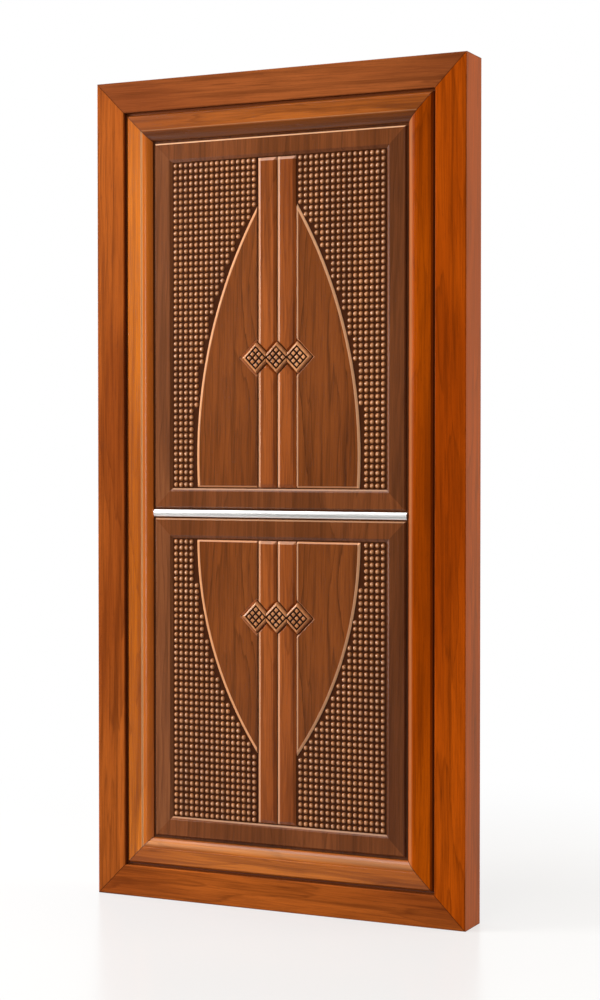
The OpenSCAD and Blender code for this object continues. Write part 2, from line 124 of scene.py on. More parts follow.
def vector_sum(tree, first, second=(0, 0, 0), operation="MULTIPLY"):
    """One sum on two vectors or sockets. A measure, such as a length, comes out as a plain value."""
    node = add_node(tree, "ShaderNodeVectorMath", {0: first, 1: second}, operation=operation)
    return node.outputs["Value" if operation in MEASURES else "Vector"]


def ranged(tree, value, low, high, to_low=0.0, to_high=1.0, curve="SMOOTHSTEP"):
    """A value from one range brought to another, and held at the ends."""
    return add_node(tree, "ShaderNodeMapRange", {
        "Value": value, "From Min": low, "From Max": high, "To Min": to_low, "To Max": to_high,
    }, interpolation_type=curve).outputs["Result"]


print("node helpers ready")

# %% [markdown]
# ## Studio: the world
#
# The door stands in a white studio. A plain white world would wash out the varnish, because the front of the
# door mirrors the room behind the photographer, and that room is dim. So the world is white to the camera,
# and to mirrored rays only on the backdrop's side. To all other rays it is a dim room that gets brighter
# towards the backdrop.

# %% World
BACKDROP_SIDE = (0.0, 1.0, 0.1)
BACKDROP_FADE = (-0.30, 0.15)
ROOM_FADE = (-0.4, 0.6)
FRONT_ROOM = 0.10
BACK_ROOM = 0.55
ROOM_COLOUR = (1, 0.985, 0.96, 1)
WHITE = (1, 1, 1, 1)


def whitened_rays(tree, backdrop):
    """1 for rays from the camera, and for mirrored rays as far as they meet the backdrop's side."""
    path = add_node(tree, "ShaderNodeLightPath").outputs
    mirrored = sum_of(tree, path["Is Glossy Ray"], path["Is Transmission Ray"])
    mirrored_backdrop = sum_of(tree, mirrored, backdrop, "MULTIPLY")
    return add_node(tree, "ShaderNodeMath", {
        0: path["Is Camera Ray"], 1: mirrored_backdrop,
    }, operation="ADD", use_clamp=True).outputs[0]


world = bpy.data.worlds.new("studio")
world.use_nodes = True
bpy.context.scene.world = world
tree = world.node_tree
tree.nodes.clear()
place = add_node(tree, "ShaderNodeTexCoord").outputs["Generated"]
facing = vector_sum(tree, place, BACKDROP_SIDE, "DOT_PRODUCT")
backdrop = ranged(tree, facing, *BACKDROP_FADE, curve="LINEAR")
room_light = ranged(tree, facing, *ROOM_FADE, FRONT_ROOM, BACK_ROOM, curve="LINEAR")
room = add_node(tree, "ShaderNodeBackground", {"Color": ROOM_COLOUR, "Strength": room_light})
white = add_node(tree, "ShaderNodeBackground", {"Color": WHITE, "Strength": 1})
mix = add_node(tree, "ShaderNodeMixShader", {
    0: whitened_rays(tree, backdrop), 1: room.outputs[0], 2: white.outputs[0],
})
add_node(tree, "ShaderNodeOutputWorld", {"Surface": mix.outputs[0]})
print("world: white to the camera, room light from", FRONT_ROOM, "to", BACK_ROOM)

# %% [markdown]
# ## Studio: the floor
#
# A pale, faintly polished floor keeps the door's soft shadow and fades into the white further out. A curved
# paper sweep would do the same and needs more modelling. Here a wide disc is enough, with a finish that
# mixes grey paint, a little polish and plain white by the distance from the door.

# %% Floor
FLOOR_RADIUS = 40.0
FLOOR_CORNERS = 96
FADE_FROM = 0.7
FADE_TO = 2.2
MIRROR_FROM = -0.9
MIRROR_TO = 0.2
FLOOR_GREY = 0.18
FLOOR_LIFT = 0.735
FLOOR_POLISH = 0.12
POLISH_ROUGHNESS = 0.22


def blank_finish(name):
    """A new material with an empty node tree."""
    finish = bpy.data.materials.new(name)
    finish.use_nodes = True
    finish.node_tree.nodes.clear()
    return finish


bm = bmesh.new()
bmesh.ops.create_circle(bm, cap_ends=True, segments=FLOOR_CORNERS, radius=FLOOR_RADIUS)
floor_mesh = bpy.data.meshes.new("floor")
bm.to_mesh(floor_mesh)
bm.free()
floor = bpy.data.objects.new("floor", floor_mesh)
bpy.context.collection.objects.link(floor)

floor_finish = blank_finish("pale floor")
tree = floor_finish.node_tree
place = add_node(tree, "ShaderNodeTexCoord").outputs["Object"]
spot = add_node(tree, "ShaderNodeSeparateXYZ", {0: place}).outputs
fade = ranged(tree, vector_sum(tree, place, operation="LENGTH"), FADE_FROM, FADE_TO)
backdrop = ranged(tree, spot["Y"], MIRROR_FROM, MIRROR_TO, curve="LINEAR")
seen = whitened_rays(tree, backdrop)
fog = sum_of(tree, fade, seen, "MULTIPLY")
lift = sum_of(tree, seen, FLOOR_LIFT, "MULTIPLY")
paint = add_node(tree, "ShaderNodeBsdfDiffuse", {"Color": (FLOOR_GREY, FLOOR_GREY, FLOOR_GREY, 1)})
glow = add_node(tree, "ShaderNodeEmission", {"Color": WHITE, "Strength": lift})
lit = add_node(tree, "ShaderNodeAddShader", {0: paint.outputs[0], 1: glow.outputs[0]})
polish = add_node(tree, "ShaderNodeBsdfGlossy", {"Color": WHITE, "Roughness": POLISH_ROUGHNESS})
polished = add_node(tree, "ShaderNodeMixShader", {0: FLOOR_POLISH, 1: lit.outputs[0], 2: polish.outputs[0]})
white = add_node(tree, "ShaderNodeEmission", {"Color": WHITE, "Strength": 1})
mix = add_node(tree, "ShaderNodeMixShader", {0: fog, 1: polished.outputs[0], 2: white.outputs[0]})
add_node(tree, "ShaderNodeOutputMaterial", {"Surface": mix.outputs[0]})
floor_mesh.materials.append(floor_finish)
print("floor of radius", FLOOR_RADIUS)

# %% [markdown]
# ## Studio: the lamps
#
# Five soft boxes light the door. The key stands at the left, a wide box hangs above, a warm one lights the
# right edge, and two weaker strips put a line of light on the rounded profiles. Point lamps would be simpler
# to place, but only a lamp with a width and a height gives soft shadows and shows as a shape in the varnish.


# %% Lamps
def soft_lamp(name, place, target, size, power, colour=(1, 1, 1)):
    """A soft box of some width and height at a place, turned to a target."""
    lamp = bpy.data.lights.new(name, "AREA")
    lamp.shape = "RECTANGLE"
    lamp.size, lamp.size_y = size
    lamp.energy = power
    lamp.color = colour
    holder = bpy.data.objects.new(name, lamp)
    holder.location = place
    holder.rotation_euler = (Vector(target) - Vector(place)).to_track_quat("-Z", "Y").to_euler()
    bpy.context.collection.objects.link(holder)
    return holder


soft_lamp("key from the left", place=(-4.6, -2.9, 2.4), target=(0, 0, 1.0), size=(2.4, 2.4), power=380,
          colour=(1.0, 0.98, 0.95))
soft_lamp("top box", place=(-1.5, -3.4, 7.0), target=(0, 0, 1.0), size=(7.0, 3.0), power=300)
soft_lamp("side strip", place=(-3.6, 0.3, 1.3), target=(0, 0, 1.1), size=(1.5, 2.6), power=60)
soft_lamp("edge light", place=(3.6, 1.0, 1.9), target=(0.5, 0, 1.0), size=(2.0, 2.0), power=85,
          colour=(1.0, 0.82, 0.6))
soft_lamp("front strip", place=(0.4, -4.6, 1.2), target=(-0.3, 0, 1.1), size=(0.4, 2.4), power=30)

# %% [markdown]
# ## Timber as a node group
#
# Every board of the door shows the same kind of wood. A photograph of wood would repeat and would end at the
# edges, so the figure is worked out from the place in the board, and it runs on round every corner. One node
# group holds that drawing for all boards. It takes board coordinates, with Z along the grain and the tree's
# heart at the origin, and puts out a colour, a roughness and a height.

# %% Timber group
NUMBER = "NodeSocketFloat"
COLOUR = "NodeSocketColor"
VECTOR = "NodeSocketVector"


def new_group(name, inputs, outputs):
    """A node group with its sockets, each given as a name and a kind."""
    group = bpy.data.node_groups.new(name, "ShaderNodeTree")
    for way, sockets in (("INPUT", inputs), ("OUTPUT", outputs)):
        for socket, kind in sockets.items():
            group.interface.new_socket(socket, in_out=way, socket_type=kind)
    return group


timber = new_group("timber", {
    "Board": VECTOR, "Pale": COLOUR, "Middle": COLOUR, "Deep": COLOUR,
    "Ring width": NUMBER, "Figure": NUMBER, "Fibre": NUMBER,
}, {"Colour": COLOUR, "Roughness": NUMBER, "Height": NUMBER})
given = add_node(timber, "NodeGroupInput").outputs
board = given["Board"]
print("timber group with", len(timber.interface.items_tree), "sockets")

# %% [markdown]
# ## Year rings
#
# A board is a slice of a tree, so its figure is drawn as one: rings round a heart that lies behind the
# board, bent by slow noise. Where the face cuts the rings at a shallow angle they open into tall arches, and
# where it cuts them steeply they run as straight lines. A wave texture would give stripes of one width. Here
# the distance from the heart is counted in rings, and each year gets its own strength.

# %% Year rings
WAVE_LENGTHEN = (1.0, 1.0, 0.2)
WAVE_SCALE = 9.0
WAVE_DETAIL = 2.0
WAVE_ROUGHNESS = 0.45
WAVE_MIDDLE = (0.5, 0.5, 0.5)
WAVE_SIZE = (0.085, 0.085, 0)
ACROSS_GRAIN = (1, 1, 0)
STREAK_SCALE = (70.0, 70.0, 1.6)
FINE_DETAIL = 3.0
NOISE_ROUGHNESS = 0.55
RING_JITTER = 1.1
WEAK_YEAR = 0.35
# How far through the year, and how dark the wood is then.
RING_STOPS = ((0.0, 0.06), (0.40, 0.14), (0.78, 0.45), (0.93, 1.0), (1.0, 0.06))


def noise_along(tree, place, scale, detail):
    """Noise with its own scale across and along the grain, from 0 to 1."""
    return add_node(tree, "ShaderNodeTexNoise", {
        "Vector": vector_sum(tree, place, scale), "Scale": 1.0,
        "Detail": detail, "Roughness": NOISE_ROUGHNESS,
    }).outputs["Fac"]


wave = add_node(timber, "ShaderNodeTexNoise", {
    "Vector": vector_sum(timber, board, WAVE_LENGTHEN), "Scale": WAVE_SCALE,
    "Detail": WAVE_DETAIL, "Roughness": WAVE_ROUGHNESS,
}).outputs["Color"]
bend = vector_sum(timber, vector_sum(timber, wave, WAVE_MIDDLE, "SUBTRACT"), WAVE_SIZE)
bent = vector_sum(timber, board, bend, "ADD")
from_heart = vector_sum(timber, vector_sum(timber, bent, ACROSS_GRAIN), operation="LENGTH")
streaks = noise_along(timber, board, STREAK_SCALE, FINE_DETAIL)
ring_count = sum_of(timber, from_heart, given["Ring width"], "DIVIDE")
ring_count = sum_of(timber, ring_count, sum_of(timber, streaks, RING_JITTER, "MULTIPLY"))
year = sum_of(timber, ring_count, operation="FLOOR")
chance = add_node(timber, "ShaderNodeTexWhiteNoise", {"W": year}, noise_dimensions="1D").outputs["Value"]
year_strength = ranged(timber, chance, 0.0, 1.0, WEAK_YEAR, 1.0)
ring_shade = add_node(timber, "ShaderNodeValToRGB", {"Fac": sum_of(timber, ring_count, operation="FRACT")})
ramp = ring_shade.color_ramp
ramp.interpolation = "EASE"
while len(ramp.elements) < len(RING_STOPS):
    ramp.elements.new(0.5)
for stop, (position, grey) in zip(ramp.elements, RING_STOPS):
    stop.position = position
    stop.color = (grey, grey, grey, 1)
late_wood = sum_of(timber, ring_shade.outputs["Color"], year_strength, "MULTIPLY")
print("year rings:", len(timber.nodes), "nodes so far")

# %% [markdown]
# ## Fibres, pores and colour
#
# Between the rings run fine fibres, wider streaks and short dark pores, all drawn out along the grain, and
# slow clouds of paler wood. They could be painted as an image. Stretched noise is sharper in close views and
# never repeats. The same noise also makes the pores a little rougher and deeper than the wood round them.

# %% Fibres, pores and colour
FIBRE_SCALE = (320.0, 320.0, 6.0)
PORE_SCALE = (1500.0, 1500.0, 42.0)
PORE_DETAIL = 1.0
CLOUD_SCALE = (7.0, 7.0, 1.3)
CLOUD_DETAIL = 2.0
FIBRE_RANGE = (0.40, 0.68)
STREAK_RANGE = (0.45, 0.70)
PORE_RANGE = (0.63, 0.72)
CLOUD_RANGE = (0.34, 0.66)
FIBRE_SHARE = 0.6
PORE_SHARE = 0.3
PORE_COLOUR = (0.02, 0.008, 0.003, 1)
COARSENESS = (0.3, 1.2)
ROUGHNESS = (0.20, 0.36)
FIBRE_HEIGHT = 0.35


def blend_colours(tree, share, first, second):
    """Two colours mixed by a share. On a mix node set to colours they are sockets 6 and 7."""
    return add_node(tree, "ShaderNodeMix", {0: share, 6: first, 7: second}, data_type="RGBA").outputs[2]


fibres = noise_along(timber, board, FIBRE_SCALE, FINE_DETAIL)
pores = noise_along(timber, board, PORE_SCALE, PORE_DETAIL)
clouds = noise_along(timber, board, CLOUD_SCALE, CLOUD_DETAIL)
figure_shade = sum_of(timber, late_wood, given["Figure"], "MULTIPLY")
streak_shade = sum_of(timber, ranged(timber, streaks, *STREAK_RANGE), given["Fibre"], "MULTIPLY")
fibre_shade = sum_of(timber, ranged(timber, fibres, *FIBRE_RANGE), given["Fibre"], "MULTIPLY")
fibre_shade = sum_of(timber, fibre_shade, FIBRE_SHARE, "MULTIPLY")
pore_shade = sum_of(timber, ranged(timber, pores, *PORE_RANGE), PORE_SHARE, "MULTIPLY")
tone = blend_colours(timber, ranged(timber, clouds, *CLOUD_RANGE), given["Middle"], given["Pale"])
for shade in (figure_shade, streak_shade, fibre_shade):
    tone = blend_colours(timber, shade, tone, given["Deep"])
tone = blend_colours(timber, pore_shade, tone, PORE_COLOUR)
rough = ranged(timber, sum_of(timber, fibres, pore_shade), *COARSENESS, *ROUGHNESS)
height = sum_of(timber, sum_of(timber, fibres, FIBRE_HEIGHT, "MULTIPLY"), pore_shade, "SUBTRACT")
add_node(timber, "NodeGroupOutput", {"Colour": tone, "Roughness": rough, "Height": height})
print("timber group:", len(timber.nodes), "nodes")

# %% [markdown]
# ## Masks for the moulding
#
# The stop moulding runs round the leaf like a picture frame. Painted shade darkens the groove at its outer
# edge, a painted highlight lies on its ridge, its rounded part takes painted light on the left side and
# painted shade at the top, and a fine dark line shows where two lengths meet in a mitre. These could be
# painted on each piece by hand. All four follow from one measure, how far a spot lies inside the moulding's
# outer edge, so one group works it out and hands out four masks.

# %% Moulding masks
STOP_LOW, STOP_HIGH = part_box("stop_moulding_left")
STOP_HALF_W = -STOP_LOW.x
STOP_MIDDLE_Z = (STOP_LOW.z + STOP_HIGH.z) / 2
STOP_HALF_H = (STOP_HIGH.z - STOP_LOW.z) / 2
GROOVE_W = 0.007
GROOVE_BEVEL_W = 0.005
GROOVE_EDGE = (-0.0012, -0.0002)
GROOVE_DEPTHS = (cad_low.y + 0.002, cad_low.y + 0.008)
MITRE_LINE = 0.0016
MITRE_SHARE = 0.8
FLAT_END = 0.049
ROUNDED_BLEND = 0.004


def off_line(tree, value, line):
    """How far a value is from a line, on either side of it."""
    return sum_of(tree, sum_of(tree, value, line, "SUBTRACT"), operation="ABSOLUTE")


moulding_masks = new_group("moulding masks", {
    "Place": VECTOR, "Ridge in": NUMBER, "Ridge width": NUMBER,
}, {"Groove": NUMBER, "Ridge": NUMBER, "Mitre": NUMBER, "Rounded": NUMBER})
tree = moulding_masks
given = add_node(tree, "NodeGroupInput").outputs
spot = add_node(tree, "ShaderNodeSeparateXYZ", {0: given["Place"]}).outputs
inward_x = sum_of(tree, STOP_HALF_W, off_line(tree, spot["X"], 0.0), "SUBTRACT")
inward_z = sum_of(tree, STOP_HALF_H, off_line(tree, spot["Z"], STOP_MIDDLE_Z), "SUBTRACT")
inward = sum_of(tree, inward_x, inward_z, "MINIMUM")
groove_start = ranged(tree, inward, *GROOVE_EDGE)
groove_end = ranged(tree, inward, GROOVE_W, GROOVE_W + GROOVE_BEVEL_W / 2, 1.0, 0.0)
groove = sum_of(tree, groove_start, groove_end, "MULTIPLY")
groove = sum_of(tree, groove, ranged(tree, spot["Y"], *GROOVE_DEPTHS), "MULTIPLY")
ridge = ranged(tree, off_line(tree, inward, given["Ridge in"]), 0.0, given["Ridge width"], 1.0, 0.0)
mitre = ranged(tree, off_line(tree, inward_x, inward_z), MITRE_LINE / 2, MITRE_LINE, MITRE_SHARE, 0.0)
rounded = ranged(tree, inward, FLAT_END, FLAT_END + ROUNDED_BLEND)
add_node(tree, "NodeGroupOutput", {"Groove": groove, "Ridge": ridge, "Mitre": mitre, "Rounded": rounded})
print("moulding masks:", len(tree.nodes), "nodes")

# %% [markdown]
# ## Painted light and shade
#
# Some light and shade are painted into the colours: painted shade where faces lie back, in the moulding's
# groove, between the studs and at the feet of the beads, and painted highlights on ridges, bevels and
# crowns.
# Three small helpers place this: the moulding's painted light and shade with its dark mitre lines, a mask
# for faces that lie back from the front of a carving, and a mask for what lies outside a circle, which is
# the bevel on an arch. Colours are picked as a screen shows them and made linear, because shaders work with
# linear values.

# %% Painted light and shade
MASK_BLEND = 0.0008


def screen_colour(red, green, blue):
    """A colour as a screen shows it, from 0 to 255, made linear, with full opacity."""
    parts = [c / 255 for c in (red, green, blue)]
    linear = [c / 12.92 if c <= 0.04045 else ((c + 0.055) / 1.055) ** 2.4 for c in parts]
    return (*linear, 1.0)


# Painted shade for the groove, the dark line of a mitre joint, and a pale painted highlight for the ridge.
GROOVE_SHADE = screen_colour(118, 58, 23)
MITRE_STAIN = screen_colour(62, 26, 10)
RIDGE_HIGHLIGHT = screen_colour(246, 192, 138)


def moulding_light_and_joints(tree, place, colour, ridge_in=FLAT_END, ridge_width=ROUNDED_BLEND, painted_highlight=0.0,
                    rounded_paint=None, rounded_share=0.0):
    """A colour with the rounded part's painted light and shade, the ridge's painted highlight, the groove's
    painted shade and the dark mitre lines laid over it.
    """
    masks = add_node(tree, "ShaderNodeGroup", {
        "Place": place, "Ridge in": ridge_in, "Ridge width": ridge_width,
    }, node_tree=moulding_masks).outputs
    if rounded_paint:
        colour = blend_colours(tree, sum_of(tree, masks["Rounded"], rounded_share, "MULTIPLY"), colour, rounded_paint)
    if painted_highlight:
        colour = blend_colours(tree, sum_of(tree, masks["Ridge"], painted_highlight, "MULTIPLY"), colour, RIDGE_HIGHLIGHT)
    colour = blend_colours(tree, masks["Groove"], colour, GROOVE_SHADE)
    return blend_colours(tree, masks["Mitre"], colour, MITRE_STAIN)


def recess_mask(tree, place, front_y, depths, diamond=None):
    """1 where a face lies back from the front, if need be only inside a diamond's middle and reach."""
    spot = add_node(tree, "ShaderNodeSeparateXYZ", {0: place}).outputs
    back = ranged(tree, spot["Y"], front_y + depths[0], front_y + depths[1])
    if diamond:
        middle, reach = diamond
        out = sum_of(tree, off_line(tree, spot["X"], middle.x), off_line(tree, spot["Z"], middle.z))
        back = sum_of(tree, back, ranged(tree, out, reach, reach + MASK_BLEND, 1.0, 0.0), "MULTIPLY")
    return back


def arc_mask(tree, place, middle, highlight_from):
    """1 outside a circle on the face of the door."""
    out = vector_sum(tree, vector_sum(tree, place, (1, 0, 1)), (middle.x, 0, middle.y), "DISTANCE")
    return ranged(tree, out, highlight_from - MASK_BLEND, highlight_from)


print("painted light and shade ready")

# %% [markdown]
# ## Varnished boards
#
# Each board came from its own plank, so each gets the timber group with its own heart, its own lean and the
# direction of its grain: up the door in uprights, across it in the head, the sill and the mouldings beside
# them. The wood and its varnish could be two shaders mixed. One Principled shader has a clear coat of its
# own, so a satin surface under a thin coat needs no second one.

# %% Board finish
UPRIGHT = 0.0
ACROSS = math.radians(90)
VARNISH_ROUGHNESS = 0.14
GRAIN_STRENGTH = 0.35
GRAIN_DEPTH = 0.0001
# The pale tone of the painted highlights, and of the painted reflection on the right jamb's outer side.
HIGHLIGHT_TONE = screen_colour(230, 176, 134)


def board_finish(name, tones, heart, lean, direction=UPRIGHT, ring_width=0.013, figure=0.6, fibre=0.5,
                 satin=0.22, varnish=0.12, painted_light_and_joints=None, recess=None, recess_tone=None,
                 arc=None, arc_tone=None, highlight_bands=()):
    """A varnished board. Tones are its pale, middle and deep colours, heart is the middle of its tree."""
    finish = blank_finish(name)
    tree = finish.node_tree
    place = add_node(tree, "ShaderNodeTexCoord").outputs["Object"]
    turned = add_node(tree, "ShaderNodeMapping", {
        "Vector": place, "Location": heart, "Rotation": (lean[0], direction + lean[1], 0),
    }, vector_type="TEXTURE").outputs[0]
    pale, middle, deep = [screen_colour(*tone) for tone in tones]
    wood = add_node(tree, "ShaderNodeGroup", {
        "Board": turned, "Pale": pale, "Middle": middle, "Deep": deep,
        "Ring width": ring_width, "Figure": figure, "Fibre": fibre,
    }, node_tree=timber).outputs
    colour = wood["Colour"]
    coat = varnish
    # These masks paint light and shade into the colour: shade in grooves and recesses, highlights on ridges,
    # bevels and crowns, besides the dark mitre lines.
    if painted_light_and_joints is not None:
        colour = moulding_light_and_joints(tree, place, colour, **painted_light_and_joints)
    if recess:
        back = recess_mask(tree, place, **recess)
        colour = blend_colours(tree, back, colour, screen_colour(*recess_tone))
        coat = sum_of(tree, sum_of(tree, 1.0, back, "SUBTRACT"), varnish, "MULTIPLY")
    if arc:
        colour = blend_colours(tree, arc_mask(tree, place, *arc), colour, screen_colour(*arc_tone))
    # Each band is a painted highlight, on the right jamb a painted reflection.
    for axis, start, end, share in highlight_bands:
        spot = add_node(tree, "ShaderNodeSeparateXYZ", {0: place}).outputs
        colour = blend_colours(tree, ranged(tree, spot[axis], start, end, 0.0, share), colour, HIGHLIGHT_TONE)
    bump = add_node(tree, "ShaderNodeBump", {
        "Height": wood["Height"], "Strength": GRAIN_STRENGTH, "Distance": GRAIN_DEPTH,
    })
    surface = add_node(tree, "ShaderNodeBsdfPrincipled", {
        "Base Color": colour, "Roughness": wood["Roughness"], "Normal": bump.outputs["Normal"],
        "Specular IOR Level": satin, "Coat Weight": coat, "Coat Roughness": VARNISH_ROUGHNESS,
    })
    add_node(tree, "ShaderNodeOutputMaterial", {"Surface": surface.outputs[0]})
    return finish


print("board finish ready")

# %% [markdown]
# ## Easing the edges
#
# A board straight from the machine has knife edges, and a real one never does: a pass of sandpaper takes
# half a millimetre off, and that is what catches the light. The CAD meshes are loose triangles, so a copy is
# merged, its flat faces are joined up again, and then every sharp edge gets a small round bevel. A bevel
# modifier would also round the seams between triangles. The copy stands for the CAD piece, and it is held
# inside the box of the construction. Edges on a closed mitre stay sharp, so that no gap opens there.

# %% Eased copies
MERGE = 1e-5
FLAT = math.radians(0.4)
SHARP = math.radians(24)
SHARP_SHADING = math.radians(50)
EASE_STEPS = 2
MITRE_SLACK = 0.05
MITRE_LEAST_RUN = 0.3


def dressed(bm, node, body, finish, ending):
    """Makes a piece from a bmesh: smooth where it is round, on its body, in place of its CAD node."""
    for face in bm.faces:
        face.smooth = True
        face.material_index = 0
    for vert in bm.verts:
        vert.co = [min(max(c, low), high) for c, low, high in zip(vert.co, cad_low, cad_high)]
    mesh = bpy.data.meshes.new(node + ending)
    bm.to_mesh(mesh)
    bm.free()
    mesh.set_sharp_from_angle(angle=SHARP_SHADING)
    mesh.materials.append(finish)
    piece = bpy.data.objects.new(node + ending, mesh)
    bpy.context.collection.objects.link(piece)
    weighted = piece.modifiers.new("even shading", "WEIGHTED_NORMAL")
    weighted.keep_sharp = True
    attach(piece, body)
    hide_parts(node)
    return piece


def on_mitre(edge):
    """True for an edge that runs at 45 degrees across the door's face."""
    run = edge.verts[1].co - edge.verts[0].co
    slanted = abs(abs(run.x) - abs(run.z)) < MITRE_SLACK * run.length
    return slanted and abs(run.x) > MITRE_LEAST_RUN * run.length


def eased(node, body, ease, finish, closed_mitres=False):
    """A copy of a CAD piece with its sharp edges rounded by a small width."""
    bm = bmesh.new()
    bm.from_mesh(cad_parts[node].data)
    bmesh.ops.remove_doubles(bm, verts=bm.verts, dist=MERGE)
    bmesh.ops.dissolve_limit(bm, angle_limit=FLAT, verts=bm.verts, edges=bm.edges)
    edges = [e for e in bm.edges if e.is_manifold and e.calc_face_angle() > SHARP]
    if closed_mitres:
        edges = [e for e in edges if not on_mitre(e)]
    bmesh.ops.bevel(bm, geom=edges, offset=ease, offset_type="OFFSET", segments=EASE_STEPS, profile=0.5,
                    affect="EDGES", clamp_overlap=True, material=-1)
    return dressed(bm, node, body, finish, "_eased")


print("easing ready")

# %% [markdown]
# ## The outer frame
#
# Two jambs, a head and a sill, square in section and mitred at the corners, stand round the door. They have
# little gloss, and wide rings with a soft figure. One finish for all four would make the grain run on
# through the mitres, so each board has its own heart. The outer side of the right jamb and its corner are
# made paler, a painted reflection of the bright studio.

# %% Outer frame
FRAME_EASE = 0.0009
CORNER_SHEEN = 0.15
FRAME_TONES = ((174, 89, 30), (140, 66, 21), (80, 32, 9))
HEAD_TONES = ((156, 84, 40), (128, 64, 29), (76, 33, 12))
RIGHT_TONES = ((182, 79, 8), (152, 60, 4), (88, 31, 2))

plain_gloss = {"satin": 0.04, "varnish": 0.0, "ring_width": 0.017, "figure": 0.42, "painted_light_and_joints": {}}
# A painted reflection: the right jamb's outer side and corner are made paler.
sheen_corner = ("X", cad_high.x - FRAME_EASE, cad_high.x - FRAME_EASE / 4, CORNER_SHEEN)
edge_gloss = {**plain_gloss, "satin": 0.01, "highlight_bands": (sheen_corner,)}
outer_boards = {
    "outer_left_jamb": board_finish("left jamb", FRAME_TONES, heart=(-0.462, 0.005, 0.2),
                                    lean=(0.020, 0.012), **plain_gloss),
    "outer_right_jamb": board_finish("right jamb", RIGHT_TONES, heart=(0.466, 0.0, 0.3),
                                     lean=(-0.018, -0.010), **edge_gloss),
    "outer_head": board_finish("head", HEAD_TONES, heart=(0.1, 0.01, 2.055),
                               lean=(0.016, 0.02), direction=ACROSS, **plain_gloss),
    "outer_sill": board_finish("sill", FRAME_TONES, heart=(0.0, 0.0, 0.045),
                               lean=(-0.02, 0.015), direction=ACROSS, **plain_gloss),
}
for node, finish in outer_boards.items():
    piece = eased(node, "frame", FRAME_EASE, finish)
    print(piece.name, len(piece.data.polygons), "faces")

# %% [markdown]
# ## The stop moulding
#
# The golden moulding inside the frame is what the leaf closes against: a groove, a flat band and a rounded
# edge. Its profile is all in the CAD, so only edges and finish are added. Light falls on each side in its
# own way, and each side has its own tone. The left one has painted light on its rounded edge and a strong
# painted highlight on its ridge, the top one painted shade on its rounded edge, and the right one is nearly
# dull. The right, the top and the bottom one carry fainter painted highlights on their ridges.

# %% Stop moulding
MOULDING_EASE = 0.0006
# Painted shade for the top moulding's rounded edge, and painted light for the left one's.
TOP_ROUNDED_SHADE = screen_colour(66, 31, 10)
LEFT_ROUNDED_LIGHT = screen_colour(240, 124, 40)
GOLD_TONES = ((204, 111, 21), (173, 88, 14), (108, 45, 8))
BASE_GOLD_TONES = ((190, 105, 35), (161, 82, 25), (101, 44, 11))
HEAD_GOLD_TONES = ((170, 91, 30), (141, 70, 18), (85, 37, 9))
AMBER_TONES = ((174, 77, 4), (145, 59, 2), (93, 34, 2))

soft_gloss = {"satin": 0.3, "varnish": 0.15, "ring_width": 0.015, "figure": 0.42}
dull_gloss = {**soft_gloss, "satin": 0.01, "varnish": 0.0}
# Each side's painted highlight on its ridge, and on two sides painted light and shade on the rounded edge.
left_painted_light = {"ridge_in": 0.0500, "ridge_width": 0.0035, "painted_highlight": 0.75,
               "rounded_paint": LEFT_ROUNDED_LIGHT, "rounded_share": 0.4}
right_painted_light = {"ridge_in": 0.067, "ridge_width": 0.009, "painted_highlight": 0.16}
top_painted_light = {"ridge_in": 0.0485, "ridge_width": 0.002, "painted_highlight": 0.2,
              "rounded_paint": TOP_ROUNDED_SHADE, "rounded_share": 0.7}
bottom_painted_light = {"ridge_in": 0.062, "ridge_width": 0.012, "painted_highlight": 0.2}
stop_boards = {
    "stop_moulding_left": board_finish("left moulding", GOLD_TONES, heart=(-0.40, 0.0, 0.0),
                                       lean=(0.016, 0.01), painted_light_and_joints=left_painted_light, **soft_gloss),
    "stop_moulding_right": board_finish("right moulding", AMBER_TONES, heart=(0.385, 0.01, 0.0),
                                        lean=(-0.02, 0.01), painted_light_and_joints=right_painted_light, **dull_gloss),
    "stop_moulding_top": board_finish("top moulding", HEAD_GOLD_TONES, heart=(0.1, 0.0, 1.99),
                                      lean=(0.02, 0.01), direction=ACROSS, painted_light_and_joints=top_painted_light, **soft_gloss),
    "stop_moulding_bottom": board_finish("bottom moulding", BASE_GOLD_TONES, heart=(0, 0.0, 0.11),
                                         lean=(0.01, 0.02), direction=ACROSS, painted_light_and_joints=bottom_painted_light,
                                         **soft_gloss),
}
for node, finish in stop_boards.items():
    piece = eased(node, "frame", MOULDING_EASE, finish)
    print(piece.name, len(piece.data.polygons), "faces")

# %% [markdown]
# ## Leaf borders and skins
#
# A raised border of four mitred lengths frames the upper and the lower panel, and thin skins cover the leaf.
# All were cut from one veneer, so they share one heart, and only the tone changes from side to side: the
# right lengths take a darker copy, which is painted shade. The top chamfer of each cross length carries a
# painted highlight. A mask along Z does that without a second piece of mesh. The front skin, which only
# shows in the gaps, is darkened as painted shade.

# %% Leaf borders and skins
LEAF_EASE = 0.0006
BORDER_CHAMFER = 0.0035
VENEER_HEART = (0.12, 0.16, 0.9)
VENEER_LEAN = (0.03, 0.02)
BORDER_TONES = ((138, 82, 47), (118, 67, 36), (79, 42, 21))
RAIL_TONES = ((130, 72, 36), (110, 59, 27), (73, 37, 16))
SHADE_BORDER_TONES = ((109, 60, 30), (92, 48, 23), (60, 30, 13))
# The front skin shows only in the gaps, and its dark tone is painted shade.
GROUND_SHADE_TONES = ((104, 56, 26), (86, 45, 20), (58, 28, 12))
# How strong the painted highlight is on the top chamfer of each cross length.
RAIL_HIGHLIGHT = {"upper_border_top": 0.95, "lower_border_top": 0.35,
             "upper_border_bottom": 0.38, "lower_border_bottom": 0.38}

